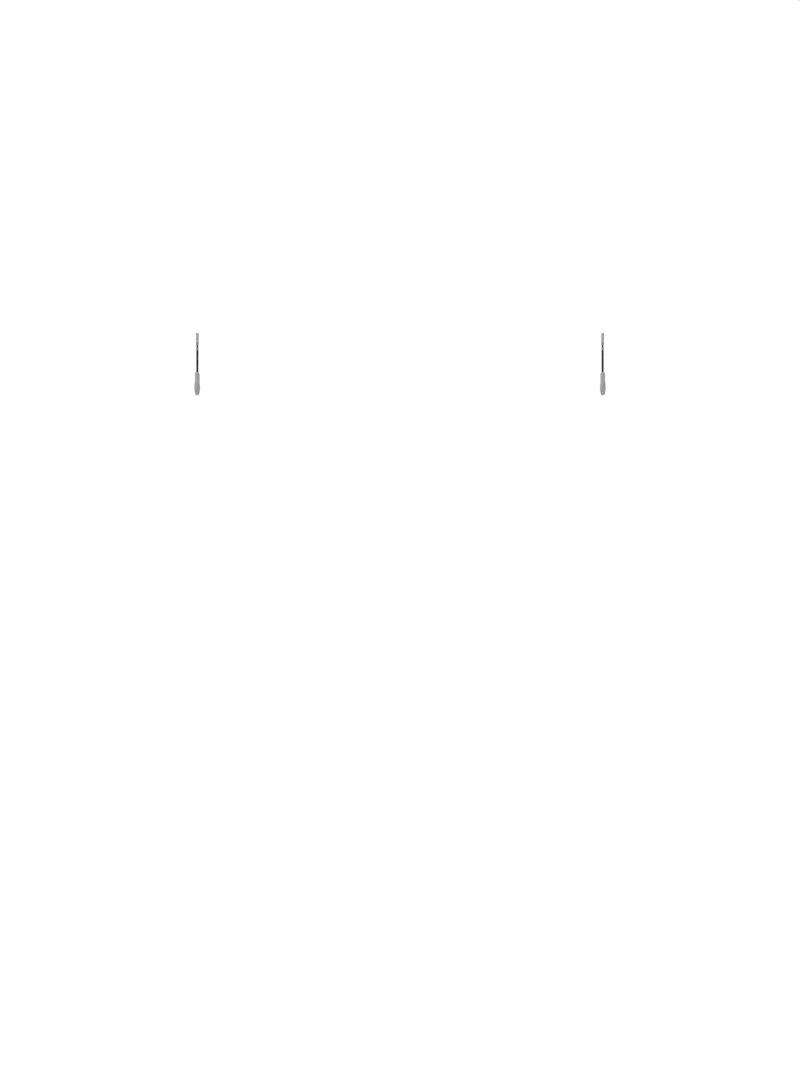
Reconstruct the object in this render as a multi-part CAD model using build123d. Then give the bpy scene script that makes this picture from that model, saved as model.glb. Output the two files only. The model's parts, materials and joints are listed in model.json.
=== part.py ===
from build123d import *
import math
import os

# A pair of ceiling hooks that hold a bicycle upside down by its two wheels.
# Millimetres. The ceiling is the plane z = 0 and the hooks hang below it. +X is to the right,
# -Y is the front, where each hook's arm turns up, and the origin is midway between the hooks.

# The pair
hook_spacing = 1155.0  # from one hook's shank to the other's: a bicycle's wheelbase

# The hook below the ceiling
drop = 153.6  # from the ceiling to the lowest point of the sleeve
arm_rise = 66.0  # from that lowest point to the tip of the front arm
throat_gap = 66.0  # clear width between the shank and the front arm, for a 61 mm tyre

# The rod
rod_d = 6.0  # bare steel
coat = 0.1  # thickness of the powder coat
thread_undercut = 0.1  # the thread's crests are this much smaller than the bare rod
thread_below = 16.0  # thread left showing and in the collar, below the ceiling
bare_neck = 9.0  # plain uncoated steel under the thread
rod_end_chamfer = 0.8

# The grip sleeve
saddle_d = 12.8  # outside, under the wheel's rim and up the shank
arm_d = 12.6  # outside, at the front arm's tip
swell_d = 16.4  # outside, where the front bend swells
swell_at = 52.0  # degrees round the bend from its lowest point
swell_reach = 45.0  # degrees that the swelling takes to fade out, each way
cuff_rise = 62.0  # from the lowest point to the sleeve's open end on the shank
tip_wall = 5.0  # solid rubber over the end of the rod
tip_round = 2.8
cuff_round = 1.2

# The lock collar, threaded on the rod and turned up against the ceiling
collar_height = 9.5
collar_flange_wall = 1.3  # wall at the flange
collar_flange_height = 1.4
collar_top_wall = 0.95  # wall just under the flange
collar_low_wall = 0.5  # wall at the bottom of the taper
collar_chamfer = 0.25

# The anchor in the ceiling
running_gap = 0.05  # radial clearance round the thread
anchor_wall = 1.0
anchor_length = 25.0
anchor_thread = 12.0  # threaded length from the mouth
anchor_step = 0.3  # the smooth bore is this much smaller in radius than the thread
anchor_slot = 0.8  # width of the slots that part the upper half into four
anchor_uncut = 2.0  # from the end of the thread to the start of the slots
anchor_chamfer = 0.4
rod_end_gap = 1.0  # from the rod's upper end to the end of the anchor's thread
plug_gap = 3.0  # from the end of the anchor's thread to the plug's wide end
plug_length = 8.0
plug_taper = 0.065  # radius lost for each millimetre of length

thread_d = rod_d - thread_undercut
thread_above = anchor_thread - rod_end_gap
anchor_solid = anchor_thread + anchor_uncut
plug_start = anchor_thread + plug_gap
coated_d = rod_d + 2 * coat
bore_r = thread_d / 2 + running_gap
arm_y = -(throat_gap + coated_d / 2 + arm_d / 2)
bend_r = -arm_y / 2
bend_z = -drop + saddle_d / 2 + bend_r
tip_z = -drop + arm_rise
cuff_z = -drop + cuff_rise
neck_z = -thread_below
coat_z = neck_z - bare_neck


def cylinder_between(radius, low, high):
    """An upright cylinder on the z axis."""
    return Pos(0, 0, (low + high) / 2) * Cylinder(radius, high - low)


def bent_bar(diameter, start_z, end_z):
    """A round bar down the shank from start_z, round the bend and up the front arm to end_z."""
    down = Line((0, 0, start_z), (0, 0, bend_z))
    lowest = (0, arm_y / 2, bend_z - bend_r)
    turn = ThreePointArc((0, 0, bend_z), lowest, (0, arm_y, bend_z))
    up = Line((0, arm_y, bend_z), (0, arm_y, end_z))
    section = Plane(origin=(0, 0, start_z), z_dir=(0, 0, -1)) * Circle(diameter / 2)
    return sweep(section, path=Wire([down, turn, up]))


def hook_rod():
    """The steel hook: threaded end, bare neck, coated shank, bend and front arm."""
    coated = bent_bar(coated_d, coat_z, tip_z - tip_wall)
    coated = chamfer(coated.edges().filter_by(GeomType.CIRCLE).filter_by(
        lambda edge: abs(edge.center().Z - (tip_z - tip_wall)) < 0.01), rod_end_chamfer)
    neck = cylinder_between(rod_d / 2, coat_z, neck_z)
    thread = cylinder_between(thread_d / 2, neck_z, thread_above)
    thread = chamfer(thread.edges().sort_by(Axis.Z)[-1], rod_end_chamfer)
    return coated + neck + thread


def sleeve_d(angle):
    """The sleeve's diameter at an angle round the bend, 0 at its lowest point and 90 at the arm."""
    base = saddle_d + (arm_d - saddle_d) * min(max(angle, 0), 90) / 90
    off = abs(angle - swell_at) / swell_reach
    if off >= 1:
        return base
    return base + (swell_d - base) * math.cos(math.radians(90 * off)) ** 2


def sleeve_sections():
    """Circles along the sleeve, from its open cuff on the shank to the tip of the arm."""
    sections = []
    straight_steps = 3
    bend_steps = 20
    for step in range(straight_steps):
        z = cuff_z + (bend_z - cuff_z) * step / straight_steps
        plane = Plane(origin=(0, 0, z), x_dir=(1, 0, 0), z_dir=(0, 0, -1))
        sections.append(plane * Circle(saddle_d / 2))
    for step in range(bend_steps + 1):
        angle = -90 + 180 * step / bend_steps
        across = math.sin(math.radians(angle))
        down = math.cos(math.radians(angle))
        centre = (0, arm_y / 2 - bend_r * across, bend_z - bend_r * down)
        plane = Plane(origin=centre, x_dir=(1, 0, 0), z_dir=(0, -down, across))
        sections.append(plane * Circle(sleeve_d(angle) / 2))
    for step in range(1, straight_steps + 1):
        z = bend_z + (tip_z - bend_z) * step / straight_steps
        plane = Plane(origin=(0, arm_y, z), x_dir=(1, 0, 0), z_dir=(0, 0, 1))
        sections.append(plane * Circle(arm_d / 2))
    return sections


def grip_sleeve():
    """The soft moulded sleeve over the bend and the front arm, closed at the tip."""
    body = loft(sleeve_sections())
    tip_edge = body.edges().filter_by(lambda edge: abs(edge.center().Z - tip_z) < 0.01)
    body = fillet(tip_edge, tip_round)
    cuff_edge = body.edges().filter_by(lambda edge: abs(edge.center().Z - cuff_z) < 0.01)
    body = fillet(cuff_edge, cuff_round)
    return body - bent_bar(coated_d, coat_z, tip_z - tip_wall)


def lock_collar():
    """A slim tapered round nut that jams the rod against the anchor's mouth."""
    flange_r = bore_r + collar_flange_wall
    profile = Polyline(
        (bore_r, 0),
        (flange_r, 0),
        (flange_r, -collar_flange_height + collar_chamfer),
        (flange_r - collar_chamfer, -collar_flange_height),
        (bore_r + collar_top_wall, -collar_flange_height),
        (bore_r + collar_low_wall, -collar_height + collar_chamfer),
        (bore_r + collar_low_wall - collar_chamfer, -collar_height),
        (bore_r, -collar_height),
        close=True,
    )
    return revolve(Plane.XZ * make_face(profile), Axis.Z)


def plug_r(z):
    """The radius of the expander plug, and of the bore it wedges in, at a height."""
    return bore_r - anchor_step - plug_taper * (z - plug_start)


def anchor_shell():
    """The expansion anchor: threaded below, and slotted above round its tapered bore."""
    outer_r = bore_r + anchor_wall
    profile = Polyline(
        (bore_r, 0),
        (outer_r, 0),
        (outer_r, anchor_length - anchor_chamfer),
        (outer_r - anchor_chamfer, anchor_length),
        (plug_r(anchor_length), anchor_length),
        (plug_r(plug_start), plug_start),
        (plug_r(plug_start), anchor_thread),
        (bore_r, anchor_thread),
        close=True,
    )
    shell = revolve(Plane.XZ * make_face(profile), Axis.Z)
    slot_height = anchor_length - anchor_solid
    slot_centre = Pos(0, 0, (anchor_length + anchor_solid) / 2)
    for turn in (0, 90):
        shell -= Rot(0, 0, turn) * slot_centre * Box(anchor_slot, 4 * outer_r, slot_height)
    return shell


def expander_plug():
    """The steel cone driven up the anchor to spread its slotted end."""
    top = plug_start + plug_length
    profile = Polyline(
        (0, plug_start),
        (plug_r(plug_start), plug_start),
        (plug_r(top), top),
        (0, top),
        close=True,
    )
    return revolve(Plane.XZ * make_face(profile), Axis.Z)


pieces = {
    "hook_rod": hook_rod(),
    "grip_sleeve": grip_sleeve(),
    "lock_collar": lock_collar(),
    "anchor_shell": anchor_shell(),
    "expander_plug": expander_plug(),
}
sides = {"left": -hook_spacing / 2, "right": hook_spacing / 2}

os.makedirs("parts", exist_ok=True)
for side, x in sides.items():
    for name, piece in pieces.items():
        export_step(Pos(x, 0, 0) * piece, f"parts/{side}_{name}.step")
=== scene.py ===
import json
import math

import bmesh
import bpy
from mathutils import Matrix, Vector


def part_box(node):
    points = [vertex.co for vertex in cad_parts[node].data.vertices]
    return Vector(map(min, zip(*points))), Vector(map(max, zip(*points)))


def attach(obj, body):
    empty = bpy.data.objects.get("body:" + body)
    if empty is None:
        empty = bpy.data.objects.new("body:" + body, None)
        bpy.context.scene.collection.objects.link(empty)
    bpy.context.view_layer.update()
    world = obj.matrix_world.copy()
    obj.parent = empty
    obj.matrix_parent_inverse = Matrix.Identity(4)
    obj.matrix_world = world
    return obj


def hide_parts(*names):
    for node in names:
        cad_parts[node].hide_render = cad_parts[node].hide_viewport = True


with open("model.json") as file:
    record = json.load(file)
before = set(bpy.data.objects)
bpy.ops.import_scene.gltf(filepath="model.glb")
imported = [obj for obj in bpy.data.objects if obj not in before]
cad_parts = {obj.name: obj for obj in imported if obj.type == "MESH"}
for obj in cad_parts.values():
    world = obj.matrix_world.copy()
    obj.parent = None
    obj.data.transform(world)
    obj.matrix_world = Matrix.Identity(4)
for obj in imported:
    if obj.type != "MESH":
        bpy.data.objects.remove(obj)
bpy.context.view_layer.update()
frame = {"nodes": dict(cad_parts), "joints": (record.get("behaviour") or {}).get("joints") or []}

# Lengths are in metres, in the set's own frame: z = 0 is the ceiling, the hooks hang below it and
# their arms are at the front, towards -Y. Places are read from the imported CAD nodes. The outlines
# of small turned parts are lists of points in millimetres.
MM = 0.001
MERGE_DISTANCE = 1e-7
SHARP_ANGLE = math.radians(38.0)  # faces that meet at less than this are shaded smooth

# The rod, from its threaded upper end down
ROD_COLUMNS = 64
THREAD_PITCH = 1.0 * MM
THREAD_DEPTH = 0.58 * MM
THREAD_CREST = 2.95 * MM
THREAD_RUNOUT = 1.4 * MM
THREAD_PLAIN = 0.15 * MM  # plain length below the last groove
THREAD_END_RADIUS = THREAD_CREST - 1.15 * THREAD_DEPTH  # the upper end, inside its chamfer
THREAD_END = 16.0 * MM  # below the ceiling
SHOULDER = 0.12 * MM  # from the thread's end to the neck's full radius
NECK_RADIUS = 3.0 * MM
NECK_FIRST = 0.8 * MM  # from the thread's end to the first of the neck's even rings
NECK_STEP = 0.9 * MM  # between rings on the neck
COAT_START = 25.0 * MM  # below the ceiling
COAT_RADIUS = 3.1 * MM
COAT_FIRST = 2.5 * MM  # from the coat's start to the first of its even rings
ROD_CHAMFER = 0.8 * MM  # at the end of the front arm
ROD_STEP = 3.0 * MM  # between rings on the coated straight stretches
ROD_BEND_STEP = 2.5 * MM

# One pitch of the thread, as (share of the pitch, share of the depth cut away)
THREAD_PROFILE = ((0.0, 1.0), (0.07, 0.96), (0.14, 0.82), (0.44, 0.10), (0.5, 0.0), (0.57, 0.0),
                  (0.63, 0.10), (0.93, 0.82))

# The powder coat's rounded edge, as (distance past COAT_START, height above the bare neck)
COAT_EDGE = ((-0.25, 0.0), (0.0, 0.045), (0.25, 0.078), (0.6, 0.096), (1.1, 0.1))

# The edge's waves round the rod, as (height in millimetres, waves in a turn, phase)
COAT_WAVES = ((0.22, 2, -0.7), (0.12, 5, 0.0), (0.08, 9, -2.0))

# The sleeve
SLEEVE_COLUMNS = 96
SLEEVE_STEP = 1.6 * MM  # between rings outside, where the sleeve is straight
SLEEVE_BEND_STEP = 1.5 * MM
BORE_STEP = 4.0 * MM  # between rings inside
BORE_RADIUS = 3.12 * MM
BORE_CLEARANCE = 0.02 * MM  # past the rod's end
BORE_END = 2.0 * MM  # from the open end
SADDLE_RADIUS = 6.4 * MM
ARM_RADIUS = 6.3 * MM
SWELL_RADIUS = 8.2 * MM
SWELL_AT = 52.0  # degrees round the bend from its lowest point
SWELL_REACH = 45.0  # degrees over which the swelling fades out, each way
TIP_ROUND = 2.8 * MM
TIP_WALL = 5.0 * MM
CUFF_RISE = 62.0 * MM  # from the sleeve's lowest point to its open end
MOUTH_RADIUS = 3.2 * MM
MOUTH_DEPTH = 1.1 * MM
LIP_RADIUS = 5.0 * MM  # where the open end reaches furthest up the shank
BEAD_RADIUS = 6.9 * MM
BEAD_CREST = 1.75 * MM  # from the open end
BEAD_END = 3.8 * MM  # from the open end
PARTING_HEIGHT = 0.2 * MM
PARTING_WIDTH = 0.03  # half width, as the sine of half its angle round the sleeve
PARTING_START = 4.6 * MM  # from the open end
PARTING_FULL = 7.0 * MM  # from the open end

# The tip's crown and the moulding gate's sunk mark in it, as (radius, height above the tip)
GATE_OUTLINE = ((2.9, 0.08), (2.2, 0.13), (1.5, 0.15), (1.3, 0.06), (1.1, 0.02), (0.5, 0.02))

# The lock collar
FLUTES = 28
FLUTE_COLUMNS = 6  # mesh columns across one flute
FLUTE_SHARPNESS = 1.4

# The collar's outline from the bore's lower end, as (drop below the ceiling, radius, flute depth)
COLLAR_OUTLINE = (
    # the rounded lower rim
    (9.1, 3.0, 0), (9.5, 3.3, 0), (9.5, 3.34, 0), (9.42, 3.46, 0), (9.2, 3.53, 0), (8.7, 3.56, 0),
    # the fluted taper
    (8.45, 3.52, 0), (8.2, 3.55, 0.06), (7.8, 3.6, 0.17), (6.0, 3.71, 0.17), (4.0, 3.83, 0.17),
    (2.7, 3.91, 0.17), (2.4, 3.93, 0.05),
    # the neck under the flange, and the flange
    (2.25, 3.9, 0), (2.05, 3.9, 0), (1.95, 3.97, 0), (1.72, 4.02, 0), (1.55, 4.1, 0), (1.45, 4.2, 0),
    (1.2, 4.28, 0), (0.9, 4.3, 0), (0.12, 4.3, 0), (0.0, 4.2, 0), (0.0, 3.3, 0), (0.3, 3.0, 0),
)

# The anchor, in millimetres, with heights above the ceiling
ANCHOR_RADIUS = 4.0
SLOT_WIDTH = 0.8
SLOT_START = 14.0
SLOT_COLUMNS = 2
LEAF_COLUMNS = 40
KNURL_LOW = 15.0
KNURL_HIGH = 23.4
KNURL_MARGIN = 0.2
KNURL_ROW = 0.25
KNURL_DEPTH = 0.16
KNURL_LINES = 20
KNURL_SLANT = 2.9  # radians for each millimetre of height

# Its outline, as (height, radius): outside up to the knurled band, above the band, and the bore
ANCHOR_LOWER = (
    (0.0, 3.72), (0.08, 3.86), (0.28, 3.97), (0.5, ANCHOR_RADIUS), (4.0, ANCHOR_RADIUS),
    (9.0, ANCHOR_RADIUS), (12.4, ANCHOR_RADIUS),
    # the groove
    (12.5, 3.97), (12.6, 3.86), (12.9, 3.84), (13.2, 3.86), (13.3, 3.97), (13.4, ANCHOR_RADIUS),
    (SLOT_START, ANCHOR_RADIUS), (14.9, ANCHOR_RADIUS),
)
ANCHOR_UPPER = ((23.5, ANCHOR_RADIUS), (24.5, ANCHOR_RADIUS), (24.8, 3.94), (25.0, 3.7))
ANCHOR_BORE = (
    (25.0, 2.2), (24.8, 2.06), (20.0, 2.375), (15.0, 2.7), (SLOT_START, 2.7), (12.0, 2.7),
    (12.0, 3.0), (6.0, 3.0), (0.35, 3.0), (0.0, 3.3),
)


# ---------------------------------------------------------------- mesh tools

def mesh_piece(name, verts, faces, materials, face_materials=None):
    """An object from vertices and faces, smooth except at sharp edges."""
    mesh = bpy.data.meshes.new(name)
    mesh.from_pydata([tuple(v) for v in verts], [], faces)
    if face_materials:
        mesh.polygons.foreach_set("material_index", face_materials)
    for material in materials:
        mesh.materials.append(material)
    work = bmesh.new()
    work.from_mesh(mesh)
    bmesh.ops.remove_doubles(work, verts=work.verts, dist=MERGE_DISTANCE)
    bmesh.ops.dissolve_degenerate(work, edges=work.edges, dist=MERGE_DISTANCE / 10)
    bmesh.ops.recalc_face_normals(work, faces=work.faces)
    for face in work.faces:
        face.smooth = True
    for edge in work.edges:
        if len(edge.link_faces) == 2:
            edge.smooth = edge.calc_face_angle(0.0) < SHARP_ANGLE
    work.to_mesh(mesh)
    work.free()
    piece = bpy.data.objects.new(name, mesh)
    bpy.context.scene.collection.objects.link(piece)
    return piece


def band_faces(rows, width, closed=True):
    """Faces between rows of vertices. In closed rows the last column joins the first."""
    faces = []
    for row in range(rows - 1):
        low, high = row * width, (row + 1) * width
        for column in range(width if closed else width - 1):
            after = (column + 1) % width
            faces.append((low + column, low + after, high + after, high + column))
    return faces


def fan_faces(start, columns, hub):
    """Faces from a ring of vertices to the hub in its middle."""
    return [(start + column, start + (column + 1) % columns, hub) for column in range(columns)]


def skin(rings, close_start=True, close_end=True):
    """Faces that join rings of equal length, in order, with a flat fan at each closed end."""
    verts = [v for ring in rings for v in ring]
    columns = len(rings[0])
    faces = band_faces(len(rings), columns)
    for closed, start in ((close_start, 0), (close_end, (len(rings) - 1) * columns)):
        if closed:
            verts.append(sum(verts[start:start + columns], Vector()) / columns)
            faces += fan_faces(start, columns, len(verts) - 1)
    return verts, faces


def spread(start, end, step):
    """Evenly spaced values from start to end, both included, about a step apart."""
    count = max(1, round(abs(end - start) / step))
    return [start + (end - start) * i / count for i in range(count + 1)]


def through(stops, step):
    """Values that pass through each stop in turn, about a step apart."""
    values = [stops[0]]
    for start, end in zip(stops, stops[1:]):
        values += spread(start, end, step)[1:]
    return values


def smooth_step(value, low, high):
    """A share that rises smoothly from 0 at low to 1 at high."""
    t = max(0.0, min(1.0, (value - low) / (high - low)))
    return t * t * (3 - 2 * t)


def arc(centre, reach, start, end, steps):
    """Points on an ellipse round a centre from one angle to another, in degrees, both included."""
    points = []
    for degrees in spread(start, end, abs(end - start) / steps):
        turn = math.radians(degrees)
        points.append((centre[0] + reach[0] * math.cos(turn), centre[1] + reach[1] * math.sin(turn)))
    return points


class HookPath:
    """The rod's centre line: down the shank, round the bend and up the front arm.

    A place on it is a distance s along the rod, 0 at the ceiling.
    """

    def __init__(self, side):
        rod_low, rod_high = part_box(f"{side}_hook_rod")
        sleeve_low, sleeve_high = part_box(f"{side}_grip_sleeve")
        arm_y = rod_low.y + COAT_RADIUS
        self.x = (rod_low.x + rod_high.x) / 2
        self.bend_r = -arm_y / 2
        self.bend_z = sleeve_low.z + SADDLE_RADIUS + self.bend_r
        self.rod_top = rod_high.z
        self.cuff = -(sleeve_low.z + CUFF_RISE)
        self.bend_start = -self.bend_z
        self.bend_length = math.pi * self.bend_r
        self.bend_end = self.bend_start + self.bend_length
        self.tip = self.bend_end + sleeve_high.z - self.bend_z
        self.rod_end = self.tip - TIP_WALL

    def angle(self, s):
        """Degrees round the bend: -90 on the shank, 0 at the lowest point, 90 on the arm."""
        return max(-90.0, min(90.0, -90.0 + 180.0 * (s - self.bend_start) / self.bend_length))

    def at(self, s):
        """The centre of the rod at s, and the direction away from the middle of the bend."""
        turn = math.radians(self.angle(s))
        outward = Vector((0, -math.sin(turn), -math.cos(turn)))
        centre = Vector((self.x, -self.bend_r, self.bend_z)) + outward * self.bend_r
        if s < self.bend_start:
            centre.z = -s
        elif s > self.bend_end:
            centre.z = self.bend_z + s - self.bend_end
        return centre, outward

    def ring(self, s, radius, columns, relief=None):
        """A ring round the rod at s. relief gives each column's extra radius by its angle."""
        centre, outward = self.at(s)
        ring = []
        for column in range(columns):
            phi = 2 * math.pi * column / columns
            r = radius + (relief(phi) if relief else 0.0)
            across = Vector((1, 0, 0)) * (r * math.cos(phi))
            ring.append(centre + across + outward * (r * math.sin(phi)))
        return ring


# ---------------------------------------------------------------- the hook

def thread_point(path, depth, cut, phi):
    """A point of the thread, depth below the rod's upper end and cut to a share of its depth."""
    z = min(path.rod_top, max(-THREAD_END, path.rod_top - depth))
    fade = smooth_step(z, -THREAD_END + THREAD_PLAIN, -THREAD_END + THREAD_RUNOUT)
    chamfer = THREAD_END_RADIUS + (path.rod_top - z)
    radius = min(THREAD_CREST - cut * THREAD_DEPTH * fade, chamfer)
    return Vector((path.x + radius * math.cos(phi), -radius * math.sin(phi), z))


def thread_mesh(path):
    """The rolled thread, from the rod's chamfered upper end down to the neck."""
    turns = math.ceil((path.rod_top + THREAD_END) / THREAD_PITCH) + 2
    width = ROD_COLUMNS + 1  # a row runs once round the helix and ends a pitch under its start
    verts = []
    for turn in range(turns):
        for share, cut in THREAD_PROFILE:
            for column in range(width):
                way_round = column / ROD_COLUMNS
                depth = (turn - 1 + share + way_round) * THREAD_PITCH
                verts.append(thread_point(path, depth, cut, 2 * math.pi * way_round))
    faces = band_faces(turns * len(THREAD_PROFILE), width, closed=False)
    top = len(verts)
    for column in range(ROD_COLUMNS):
        verts.append(thread_point(path, 0.0, 0.0, 2 * math.pi * column / ROD_COLUMNS))
    verts.append(Vector((path.x, 0, path.rod_top)))
    faces += fan_faces(top, ROD_COLUMNS, len(verts) - 1)
    return verts, faces


def coat_wave(phi):
    """How much higher the coat's edge reaches at an angle round the rod."""
    return MM * sum(height * math.sin(waves * phi + phase) for height, waves, phase in COAT_WAVES)


THREADED, BARE, COATED = range(3)  # the rod's materials, by face


def rod_rings(path):
    """Rings from the thread's lower end to the rod's end, each with the material that leads to it."""
    rings = []

    def add(material, s, radius):
        ring = path.ring(s, radius, ROD_COLUMNS)
        rings.append((material, ring))
        return ring

    add(THREADED, THREAD_END, THREAD_CREST)
    add(BARE, THREAD_END + SHOULDER, NECK_RADIUS)
    for s in spread(THREAD_END + NECK_FIRST, COAT_START - NECK_STEP, NECK_STEP):
        add(BARE, s, NECK_RADIUS)
    for past, height in COAT_EDGE:
        material = BARE if height == 0 else COATED
        ring = add(material, COAT_START + past * MM, NECK_RADIUS + height * MM)
        for column, vert in enumerate(ring):
            vert.z += coat_wave(2 * math.pi * column / ROD_COLUMNS)
    coated = spread(COAT_START + COAT_FIRST, path.bend_start, ROD_STEP)
    coated += spread(path.bend_start, path.bend_end, ROD_BEND_STEP)[1:]
    coated += spread(path.bend_end, path.rod_end - ROD_CHAMFER, ROD_STEP)[1:]
    for s in coated:
        add(COATED, s, COAT_RADIUS)
    add(COATED, path.rod_end, COAT_RADIUS - ROD_CHAMFER)
    return rings


def hook_rod(side, path):
    """The bent rod: rolled thread, bare neck, then a powder coat with a soft uneven edge."""
    verts, faces = thread_mesh(path)
    kinds = [THREADED] * len(faces)
    rings = rod_rings(path)
    body, body_faces = skin([ring for _, ring in rings], close_start=False)
    start = len(verts)
    verts += body
    faces += [tuple(start + index for index in face) for face in body_faces]
    for material, _ in rings[1:]:
        kinds += [material] * ROD_COLUMNS
    kinds += [COATED] * ROD_COLUMNS  # the blunt end
    materials = [dark_thread(path.x), bare_zinc(), powder_coat()]
    piece = mesh_piece(f"{side}_rod_shown", verts, faces, materials, kinds)
    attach(piece, f"{side}_hook")
    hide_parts(f"{side}_hook_rod")


def sleeve_radius(angle):
    """The sleeve's outer radius round the bend, swelling at the front where the rim leans."""
    base = SADDLE_RADIUS + (ARM_RADIUS - SADDLE_RADIUS) * min(max(angle, 0.0), 90.0) / 90.0
    off = abs(angle - SWELL_AT) / SWELL_REACH
    if off >= 1:
        return base
    return base + (SWELL_RADIUS - base) * math.cos(math.radians(90 * off)) ** 2


def cuff_bead():
    """The rolled bead round the open end: distances from the end along the rod, with radii."""
    mouth = arc((MOUTH_DEPTH, LIP_RADIUS), (MOUTH_DEPTH, LIP_RADIUS - MOUTH_RADIUS), 270, 180, 4)
    crown = arc((BEAD_CREST, LIP_RADIUS), (BEAD_CREST, BEAD_RADIUS - LIP_RADIUS), 180, 90, 5)
    fall = []
    for past in spread(BEAD_CREST, BEAD_END, (BEAD_END - BEAD_CREST) / 4)[1:]:
        share = 1.0 - smooth_step(past, BEAD_CREST, BEAD_END)
        fall.append((past, SADDLE_RADIUS + (BEAD_RADIUS - SADDLE_RADIUS) * share))
    return mouth + crown[1:] + fall


def parting(share=1.0):
    """A fine moulding line down the inside and the outside of the bend, at a share of its height."""
    def ridge(phi):
        off = min(abs(math.sin(phi / 2 - math.pi / 4)), abs(math.sin(phi / 2 + math.pi / 4)))
        return share * PARTING_HEIGHT * math.exp(-(off / PARTING_WIDTH) ** 2)
    return ridge


def grip_sleeve(side, path):
    """The moulded sleeve, hollow over the rod: bore, rolled cuff, outside and closed tip."""
    rings = []

    def add(s, radius, relief=None):
        rings.append(path.ring(s, radius, SLEEVE_COLUMNS, relief))

    inside = [path.rod_end + BORE_CLEARANCE, path.bend_end, path.bend_start, path.cuff + BORE_END]
    for s in through(inside, BORE_STEP):
        add(s, BORE_RADIUS)
    for past, radius in cuff_bead():
        add(path.cuff + past, radius)
    outside = spread(path.cuff + PARTING_START, path.bend_start, SLEEVE_STEP)
    outside += spread(path.bend_start, path.bend_end, SLEEVE_BEND_STEP)[1:]
    for s in outside:
        risen = smooth_step(s - path.cuff, BEAD_END, PARTING_FULL)
        add(s, sleeve_radius(path.angle(s)), parting(risen))
    for s in spread(path.bend_end, path.tip - TIP_ROUND, SLEEVE_STEP)[1:]:
        add(s, ARM_RADIUS, parting())
    for degrees in range(10, 91, 10):
        turn = math.radians(degrees)
        s = path.tip - TIP_ROUND * (1 - math.sin(turn))
        add(s, ARM_RADIUS - TIP_ROUND * (1 - math.cos(turn)), parting(math.cos(turn)))
    for radius, height in GATE_OUTLINE:
        add(path.tip + height * MM, radius * MM)
    verts, faces = skin(rings)
    piece = mesh_piece(f"{side}_sleeve_shown", verts, faces, [grey_rubber(path)])
    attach(piece, f"{side}_hook")
    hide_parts(f"{side}_grip_sleeve")


# ---------------------------------------------------------------- the ceiling fixings

def lock_collar(side, path):
    """The tapered round nut: a plain flange against the ceiling over a fluted taper."""
    columns = FLUTES * FLUTE_COLUMNS
    rings = []
    for drop, radius, depth in COLLAR_OUTLINE:
        ring = []
        for column in range(columns):
            phi = 2 * math.pi * column / columns
            r = MM * (radius - depth * (0.5 - 0.5 * math.cos(FLUTES * phi)) ** FLUTE_SHARPNESS)
            ring.append(Vector((path.x + r * math.cos(phi), r * math.sin(phi), -drop * MM)))
        rings.append(ring)
    verts, faces = skin([*rings, rings[0]], close_start=False, close_end=False)
    piece = mesh_piece(f"{side}_collar_shown", verts, faces, [zinc_plate("collar_zinc", 0.32)])
    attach(piece, "ceiling_fixings")
    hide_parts(f"{side}_lock_collar")


def anchor_angles(radius):
    """The angles of the vertices in one row: in each quarter, a slot's strip and then a leaf."""
    edge = math.asin(SLOT_WIDTH / 2 / radius)
    leaf = math.pi / 2 - 2 * edge
    quarter = [-edge, 0.0] + [edge + leaf * k / LEAF_COLUMNS for k in range(LEAF_COLUMNS)]
    return [angle + turn * math.pi / 2 for turn in range(4) for angle in quarter]


def knurl(z, phi):
    """The depth of the crossed knurling at a height and an angle, in millimetres."""
    if not KNURL_LOW < z < KNURL_HIGH:
        return 0.0
    left = math.cos(KNURL_LINES * phi + KNURL_SLANT * z)
    right = math.cos(KNURL_LINES * phi - KNURL_SLANT * z)
    fade = smooth_step(min(z - KNURL_LOW, KNURL_HIGH - z), 0.1, 0.6)
    return KNURL_DEPTH * abs(left * right) ** 0.5 * fade


def anchor_shell(side, path):
    """The expansion anchor: a plain threaded end, and four knurled leaves between the slots."""
    heights = spread(KNURL_LOW + KNURL_MARGIN, KNURL_HIGH - KNURL_MARGIN, KNURL_ROW)
    outside = [*ANCHOR_LOWER, *((z, ANCHOR_RADIUS) for z in heights), *ANCHOR_UPPER]
    rows = [*outside, *ANCHOR_BORE]
    verts = []
    for index, (z, radius) in enumerate(rows):
        for phi in anchor_angles(radius):
            r = MM * (radius - (knurl(z, phi) if index < len(outside) else 0.0))
            verts.append(Vector((path.x + r * math.cos(phi), r * math.sin(phi), z * MM)))
    quarter = SLOT_COLUMNS + LEAF_COLUMNS
    width = 4 * quarter

    def corner(row, column):
        return row * width + column % width

    def quad(row, after, column):
        low = (corner(row, column), corner(row, column + 1))
        return (*low, corner(after, column + 1), corner(after, column))

    faces = []
    for row in range(len(rows)):
        after = (row + 1) % len(rows)
        slotted = min(rows[row][0], rows[after][0]) >= SLOT_START
        for column in range(width):
            if not slotted or column % quarter >= SLOT_COLUMNS:
                faces.append(quad(row, after, column))
    # the slots' floors and side walls
    upper = [row for row, (z, _) in enumerate(rows) if z >= SLOT_START]
    for column in range(width):
        place = column % quarter
        if place < SLOT_COLUMNS:
            faces.append(quad(upper[0], upper[-1], column))
        if place in (0, SLOT_COLUMNS):
            faces.append(tuple(corner(row, column) for row in upper))
    piece = mesh_piece(f"{side}_anchor_shown", verts, faces, [zinc_plate("anchor_zinc", 0.46)])
    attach(piece, "ceiling_fixings")
    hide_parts(f"{side}_anchor_shell")


# ---------------------------------------------------------------- material tools

def new_material(name):
    """A material with only a Principled shader, as the material, its node tree and the shader."""
    material = bpy.data.materials.new(name)
    material.use_nodes = True
    tree = material.node_tree
    return material, tree, tree.nodes["Principled BSDF"]


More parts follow.
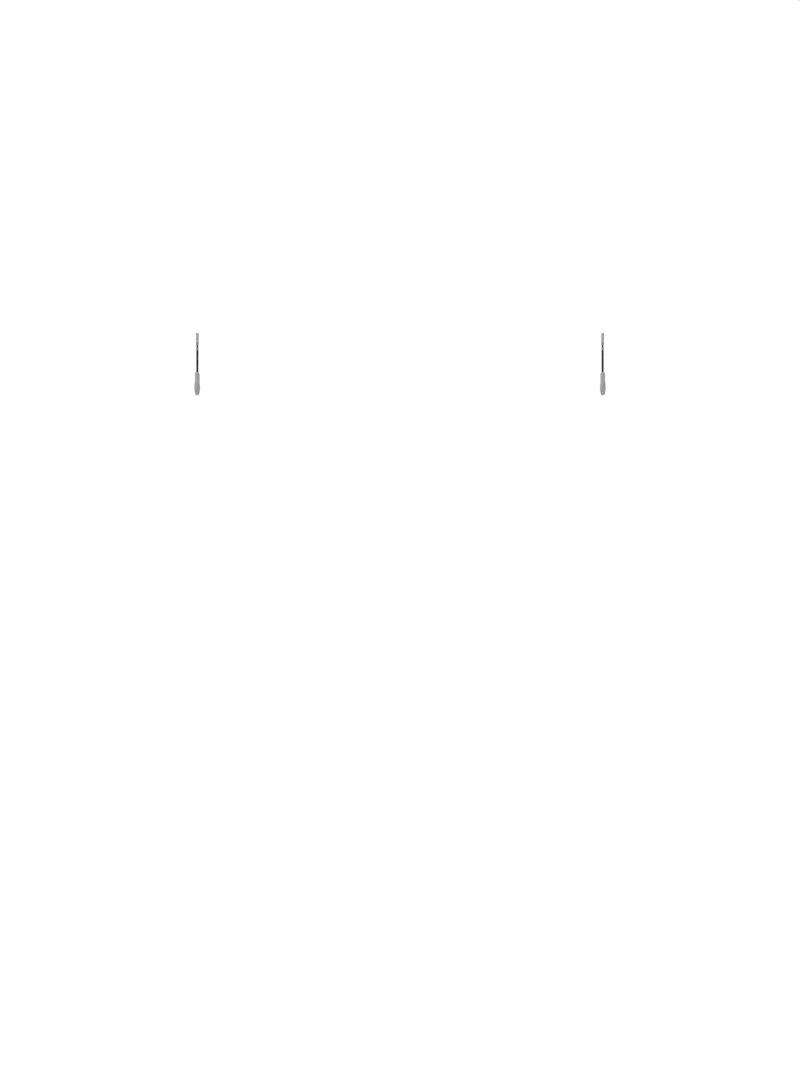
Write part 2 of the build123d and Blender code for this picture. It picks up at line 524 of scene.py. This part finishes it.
def node(tree, kind, **settings):
    """A new node. Each setting is the value of an input of that name, or else a property."""
    made = tree.nodes.new(kind)
    for key, value in settings.items():
        if key in made.inputs:
            made.inputs[key].default_value = value
        else:
            setattr(made, key, value)
    return made


def object_point(tree, scale=(1, 1, 1)):
    """The point on the piece in its own frame, in metres, stretched by a scale."""
    coordinates = node(tree, "ShaderNodeTexCoord")
    mapping = node(tree, "ShaderNodeMapping", Scale=scale)
    tree.links.new(coordinates.outputs["Object"], mapping.inputs["Vector"])
    return mapping.outputs["Vector"]


def parts_of(tree, vector):
    """A vector's X, Y and Z."""
    split = node(tree, "ShaderNodeSeparateXYZ")
    tree.links.new(vector, split.inputs[0])
    return split.outputs


def noise(tree, point, scale, detail, rough):
    """Noise from 0 to 1, with about as many waves to the metre as its scale."""
    made = node(tree, "ShaderNodeTexNoise", Scale=scale, Detail=detail, Roughness=rough)
    tree.links.new(point, made.inputs["Vector"])
    return made.outputs["Fac"]


def remap(tree, value, low, high, to_low=0.0, to_high=1.0):
    """A value's range from low to high, stretched to another range and held at its ends."""
    made = node(tree, "ShaderNodeMapRange")
    made.inputs["From Min"].default_value = low
    made.inputs["From Max"].default_value = high
    made.inputs["To Min"].default_value = to_low
    made.inputs["To Max"].default_value = to_high
    tree.links.new(value, made.inputs["Value"])
    return made.outputs["Result"]


def mix_colour(tree, share, first, second):
    """The first colour where the share is 0 and the second where it is 1."""
    made = node(tree, "ShaderNodeMix", data_type="RGBA")
    for socket, colour in ((made.inputs[6], first), (made.inputs[7], second)):
        if isinstance(colour, tuple):
            socket.default_value = (*colour, 1.0)
        else:
            tree.links.new(colour, socket)
    tree.links.new(share, made.inputs[0])
    return made.outputs[2]


def maths(tree, operation, *values):
    """A Math node on values that are numbers or other nodes' outputs."""
    made = node(tree, "ShaderNodeMath", operation=operation)
    for socket, value in zip(made.inputs, values):
        if isinstance(value, (int, float)):
            socket.default_value = value
        else:
            tree.links.new(value, socket)
    return made.outputs[0]


def hypotenuse(tree, first, second):
    """The long side of a right-angled triangle with these two others."""
    squares = [maths(tree, "MULTIPLY", side, side) for side in (first, second)]
    return maths(tree, "SQRT", maths(tree, "ADD", *squares))


def bump(tree, shader, height, distance, strength, under=None):
    """Relief on the shader, over the relief under it if there is one."""
    made = node(tree, "ShaderNodeBump", Strength=strength, Distance=distance)
    tree.links.new(height, made.inputs["Height"])
    if under is not None:
        tree.links.new(under, made.inputs["Normal"])
    tree.links.new(made.outputs["Normal"], shader.inputs["Normal"])
    return made.outputs["Normal"]


# ---------------------------------------------------------------- materials

def powder_coat():
    """Black powder coat: fine orange peel, a satin gloss and a little dust."""
    material, tree, shader = new_material("black_powder_coat")
    point = object_point(tree)
    peel = noise(tree, point, 1500.0, 2.0, 0.45)
    grain = noise(tree, point, 6500.0, 2.0, 0.5)
    patches = noise(tree, point, 160.0, 4.0, 0.6)
    dust = remap(tree, patches, 0.35, 0.75)
    colour = mix_colour(tree, dust, (0.0062, 0.0062, 0.0066), (0.0135, 0.0135, 0.0142))
    tree.links.new(colour, shader.inputs["Base Color"])
    satin = remap(tree, peel, 0.3, 0.7, 0.24, 0.34)
    duller = remap(tree, patches, 0.4, 0.8, 0.0, 0.10)
    tree.links.new(maths(tree, "ADD", satin, duller), shader.inputs["Roughness"])
    first = bump(tree, shader, peel, 0.12 * MM, 0.7)
    bump(tree, shader, grain, 0.03 * MM, 0.5, first)
    shader.inputs["Specular IOR Level"].default_value = 0.22
    return material


def bare_zinc():
    """The uncoated neck: zinc over drawn wire, with fine lines along it and a soft stain."""
    material, tree, shader = new_material("bare_zinc")
    lines = noise(tree, object_point(tree, (1.0, 1.0, 0.06)), 7000.0, 2.0, 0.6)
    stain = noise(tree, object_point(tree), 420.0, 4.0, 0.6)
    stained = remap(tree, stain, 0.35, 0.7)
    colour = mix_colour(tree, stained, (0.235, 0.238, 0.25), (0.165, 0.162, 0.158))
    tree.links.new(colour, shader.inputs["Base Color"])
    shader.inputs["Metallic"].default_value = 1.0
    drawn = remap(tree, lines, 0.3, 0.7, 0.30, 0.42)
    duller = remap(tree, stain, 0.4, 0.7, 0.0, 0.08)
    tree.links.new(maths(tree, "ADD", drawn, duller), shader.inputs["Roughness"])
    bump(tree, shader, lines, 0.01 * MM, 0.6)
    return material


def dark_thread(x):
    """The rolled thread round an axis at x: oiled dark steel, with a painted highlight that colours
    the crests lighter than the grooves.
    """
    material, tree, shader = new_material("dark_thread")
    across = parts_of(tree, object_point(tree))
    radius = hypotenuse(tree, maths(tree, "SUBTRACT", across[0], x), across[1])
    # Painted highlight: the outermost 0.14 mm of the thread, its crests, is coloured lighter than the
    # oiled grooves.
    crest_highlight = remap(tree, radius, THREAD_CREST - 0.14 * MM, THREAD_CREST)
    grime = noise(tree, object_point(tree), 900.0, 3.0, 0.6)
    oiled = remap(tree, grime, 0.35, 0.7)
    groove = mix_colour(tree, oiled, (0.030, 0.029, 0.028), (0.055, 0.052, 0.048))
    colour = mix_colour(tree, crest_highlight, groove, (0.115, 0.115, 0.12))
    tree.links.new(colour, shader.inputs["Base Color"])
    shader.inputs["Metallic"].default_value = 0.85
    tree.links.new(remap(tree, grime, 0.3, 0.7, 0.34, 0.52), shader.inputs["Roughness"])
    bump(tree, shader, noise(tree, object_point(tree), 5000.0, 2.0, 0.5), 0.008 * MM, 0.5)
    return material


def zinc_plate(name, shade):
    """Dull zinc plating on turned steel: rings from turning and a cloudy passivation."""
    material, tree, shader = new_material(name)
    rings = noise(tree, object_point(tree, (0.03, 0.03, 1.0)), 7000.0, 2.0, 0.6)
    cloud = noise(tree, object_point(tree), 650.0, 3.0, 0.55)
    bright = tuple(shade * part for part in (1.0, 1.0, 1.015))
    clouded = tuple(shade * part for part in (0.84, 0.835, 0.83))
    colour = mix_colour(tree, remap(tree, cloud, 0.35, 0.7), bright, clouded)
    tree.links.new(colour, shader.inputs["Base Color"])
    shader.inputs["Metallic"].default_value = 1.0
    turned = remap(tree, rings, 0.3, 0.7, 0.26, 0.36)
    duller = remap(tree, cloud, 0.4, 0.7, 0.0, 0.08)
    tree.links.new(maths(tree, "ADD", turned, duller), shader.inputs["Roughness"])
    bump(tree, shader, rings, 0.03 * MM, 0.6)
    return material


def plug_steel():
    """Plain turned steel, a little oily and darker than the plating."""
    material, tree, shader = new_material("plug_steel")
    rings = noise(tree, object_point(tree, (0.03, 0.03, 1.0)), 8000.0, 2.0, 0.6)
    oil = noise(tree, object_point(tree), 600.0, 3.0, 0.6)
    colour = mix_colour(tree, remap(tree, oil, 0.35, 0.7), (0.30, 0.30, 0.31), (0.20, 0.19, 0.18))
    tree.links.new(colour, shader.inputs["Base Color"])
    shader.inputs["Metallic"].default_value = 1.0
    tree.links.new(remap(tree, rings, 0.3, 0.7, 0.28, 0.42), shader.inputs["Roughness"])
    bump(tree, shader, rings, 0.015 * MM, 0.6)
    return material


def rubbed_share(tree, point, fine, path):
    """How far wheels have rubbed the sleeve: the inside of the bend, near its lowest point."""
    _, y, z = parts_of(tree, point)
    from_bend_y = maths(tree, "ADD", y, path.bend_r)
    from_bend_z = maths(tree, "SUBTRACT", z, path.bend_z)
    reach = hypotenuse(tree, from_bend_y, from_bend_z)
    inside = remap(tree, reach, path.bend_r - 6.5 * MM, path.bend_r - 3.0 * MM, 1.0, 0.0)
    low = remap(tree, z, path.bend_z - 14.0 * MM, path.bend_z - 26.0 * MM)
    scuff = remap(tree, fine, 0.42, 0.62, 0.25, 1.0)
    return maths(tree, "MULTIPLY", maths(tree, "MULTIPLY", inside, low), scuff)


def grey_rubber(path):
    """Matt light grey moulded rubber: fine grain, faint mottling and a rubbed saddle."""
    material, tree, shader = new_material("grey_rubber")
    point = object_point(tree)
    mottle = noise(tree, point, 190.0, 4.0, 0.6)
    fine = noise(tree, point, 1300.0, 3.0, 0.6)
    grain = noise(tree, point, 5200.0, 2.0, 0.55)
    mottled = remap(tree, mottle, 0.32, 0.72)
    colour = mix_colour(tree, mottled, (0.326, 0.321, 0.347), (0.294, 0.289, 0.312))
    rubbed = rubbed_share(tree, point, fine, path)
    colour = mix_colour(tree, maths(tree, "MULTIPLY", rubbed, 0.5), colour, (0.16, 0.157, 0.16))
    pores = remap(tree, fine, 0.42, 0.66, 0.0, 0.16)
    colour = mix_colour(tree, pores, colour, (0.20, 0.196, 0.212))
    tree.links.new(colour, shader.inputs["Base Color"])
    matt = remap(tree, fine, 0.3, 0.7, 0.70, 0.82)
    smoother = maths(tree, "MULTIPLY", rubbed, 0.16)
    tree.links.new(maths(tree, "SUBTRACT", matt, smoother), shader.inputs["Roughness"])
    first = bump(tree, shader, fine, 0.15 * MM, 0.6)
    bump(tree, shader, grain, 0.05 * MM, 0.7, first)
    shader.inputs["Specular IOR Level"].default_value = 0.4
    shader.inputs["Sheen Weight"].default_value = 0.12
    shader.inputs["Sheen Roughness"].default_value = 0.5
    return material


# ---------------------------------------------------------------- stage, light and camera

HOOK_SPACING = 2 * abs(frame["joints"][0]["pos_m"][0])
ROOM_HEIGHT = 2.4
FLOOR_HALF_WIDTH = 120.0
# The floor's painted shade: darker grey under the hooks, fading out to the plain pale floor further
# off
FLOOR_PAINTED_SHADE = (0.62, 0.62, 0.62)
FLOOR_FAR = (0.93, 0.93, 0.93)
FLOOR_SHADE_FADE = (1.2, 5.5)  # where the floor's painted shade starts and ends fading out, from under the hooks
FRAME_WIDTH = 1.974 * HOOK_SPACING  # what the picture takes in at the hooks
CAMERA_DROP = 0.581  # the camera's height below the ceiling
CAMERA_DISTANCE = 60.0
SENSOR_WIDTH = 36.0
ROOM_LIGHT = (0.12, 1.2)  # the room's even brightness, below and overhead
ROOM_RISE = (-0.2, 0.8)  # the heights of a ray, as a sine, between which that brightness rises
PANEL_SOFTNESS = 0.25  # how far a panel's edge fades each way, as a share of its half width
PANELS = (
    # azimuth, elevation, width and height in degrees, brightness
    (-50.0, 8.0, 26.0, 80.0, 1.3),
    (70.0, 5.0, 10.0, 80.0, 1.0),
    (150.0, 10.0, 26.0, 80.0, 1.0),
)
SUNS = (
    # name, strength, and softness, azimuth and elevation in degrees
    ("key", 1.15, 14.0, -36.0, 45.0),
    ("back", 0.6, 30.0, 165.0, 40.0),
)


def stage():
    """A pale floor, a room's height under the ceiling, with a painted shade that makes it darker
    under the hooks.
    """
    work = bmesh.new()
    bmesh.ops.create_grid(work, x_segments=8, y_segments=8, size=FLOOR_HALF_WIDTH)
    mesh = bpy.data.meshes.new("floor")
    work.to_mesh(mesh)
    work.free()
    floor = bpy.data.objects.new("floor", mesh)
    floor.location.z = -ROOM_HEIGHT
    bpy.context.scene.collection.objects.link(floor)
    material, tree, shader = new_material("pale_floor_painted_shade")
    far = node(tree, "ShaderNodeVectorMath", operation="LENGTH")
    tree.links.new(object_point(tree), far.inputs[0])
    share = node(tree, "ShaderNodeMapRange", interpolation_type="SMOOTHSTEP")
    share.inputs["From Min"].default_value, share.inputs["From Max"].default_value = FLOOR_SHADE_FADE
    tree.links.new(far.outputs["Value"], share.inputs["Value"])
    # Painted shade: the floor's colour is darker under the hooks and lighter further off
    colour = mix_colour(tree, share.outputs["Result"], FLOOR_PAINTED_SHADE, FLOOR_FAR)
    tree.links.new(colour, shader.inputs["Base Color"])
    shader.inputs["Roughness"].default_value = 1.0
    shader.inputs["Specular IOR Level"].default_value = 0.0
    mesh.materials.append(material)


def direction(azimuth, elevation):
    """The way towards a light, azimuth 0 being the camera's side and + to the right."""
    a, e = math.radians(azimuth), math.radians(elevation)
    return Vector((math.sin(a) * math.cos(e), -math.cos(a) * math.cos(e), math.sin(e)))


def sun(name, strength, softness, azimuth, elevation):
    """A soft distant light from a direction."""
    data = bpy.data.lights.new(name, "SUN")
    data.energy = strength
    data.angle = math.radians(softness)
    lamp = bpy.data.objects.new(name, data)
    lamp.rotation_euler = direction(azimuth, elevation).to_track_quat("Z", "Y").to_euler()
    bpy.context.scene.collection.objects.link(lamp)


def reach_along(tree, ray, axis):
    """How far a ray of length 1 reaches along an axis."""
    made = node(tree, "ShaderNodeVectorMath", operation="DOT_PRODUCT")
    made.inputs[1].default_value = axis
    tree.links.new(ray, made.inputs[0])
    return made.outputs["Value"]


def panel(tree, ray, azimuth, elevation, width, height, strength):
    """The brightness of a soft-edged panel of light in the room, its size in degrees across."""
    middle = direction(azimuth, elevation)
    across = middle.cross(Vector((0, 0, 1))).normalized()
    shares = []
    for axis, size in ((across, width), (across.cross(middle), height)):
        off = maths(tree, "ABSOLUTE", reach_along(tree, ray, axis))
        edge = math.sin(math.radians(size / 2))
        fade = (edge * (1 - PANEL_SOFTNESS), edge * (1 + PANEL_SOFTNESS))
        shares.append(remap(tree, off, *fade, 1.0, 0.0))
    ahead = maths(tree, "GREATER_THAN", reach_along(tree, ray, middle), 0.0)
    lit = maths(tree, "MULTIPLY", maths(tree, "MULTIPLY", *shares), ahead)
    return maths(tree, "MULTIPLY", lit, strength)


def light():
    """Soft studio light from the upper front left, in a pale room that reads as white."""
    world = bpy.data.worlds.new("studio")
    bpy.context.scene.world = world
    world.use_nodes = True
    tree = world.node_tree
    tree.nodes.clear()
    output = node(tree, "ShaderNodeOutputWorld")
    seen = node(tree, "ShaderNodeBackground", Color=(1.0, 1.0, 1.0, 1.0), Strength=1.0)
    lit = node(tree, "ShaderNodeBackground", Color=(0.8, 0.8, 0.8, 1.0))
    mixed = node(tree, "ShaderNodeMixShader")
    rays = node(tree, "ShaderNodeLightPath")
    ray = node(tree, "ShaderNodeTexCoord").outputs["Generated"]
    brightness = remap(tree, parts_of(tree, ray)[2], *ROOM_RISE, *ROOM_LIGHT)
    for place in PANELS:
        brightness = maths(tree, "ADD", brightness, panel(tree, ray, *place))
    tree.links.new(brightness, lit.inputs["Strength"])
    tree.links.new(rays.outputs["Is Camera Ray"], mixed.inputs[0])
    tree.links.new(lit.outputs[0], mixed.inputs[1])
    tree.links.new(seen.outputs[0], mixed.inputs[2])
    tree.links.new(mixed.outputs[0], output.inputs[0])
    for settings in SUNS:
        sun(*settings)


def camera():
    """Straight on from the front, from far off with a long lens, for a flat view."""
    data = bpy.data.cameras.new("camera")
    data.sensor_fit = "HORIZONTAL"
    data.sensor_width = SENSOR_WIDTH
    data.lens = SENSOR_WIDTH * CAMERA_DISTANCE / FRAME_WIDTH
    data.clip_end = 1000.0
    shot = bpy.data.objects.new("camera", data)
    shot.location = (0, -CAMERA_DISTANCE, -CAMERA_DROP)
    shot.rotation_euler = (math.radians(90), 0, 0)
    bpy.context.scene.collection.objects.link(shot)
    bpy.context.scene.camera = shot
    bpy.context.scene.view_settings.view_transform = "Standard"


# ---------------------------------------------------------------- the set

camera()
light()
stage()
steel = plug_steel()
for side in ("left", "right"):
    path = HookPath(side)
    hook_rod(side, path)
    grip_sleeve(side, path)
    lock_collar(side, path)
    anchor_shell(side, path)
    plug = frame["nodes"][f"{side}_expander_plug"]
    plug.data.materials.clear()
    plug.data.materials.append(steel)
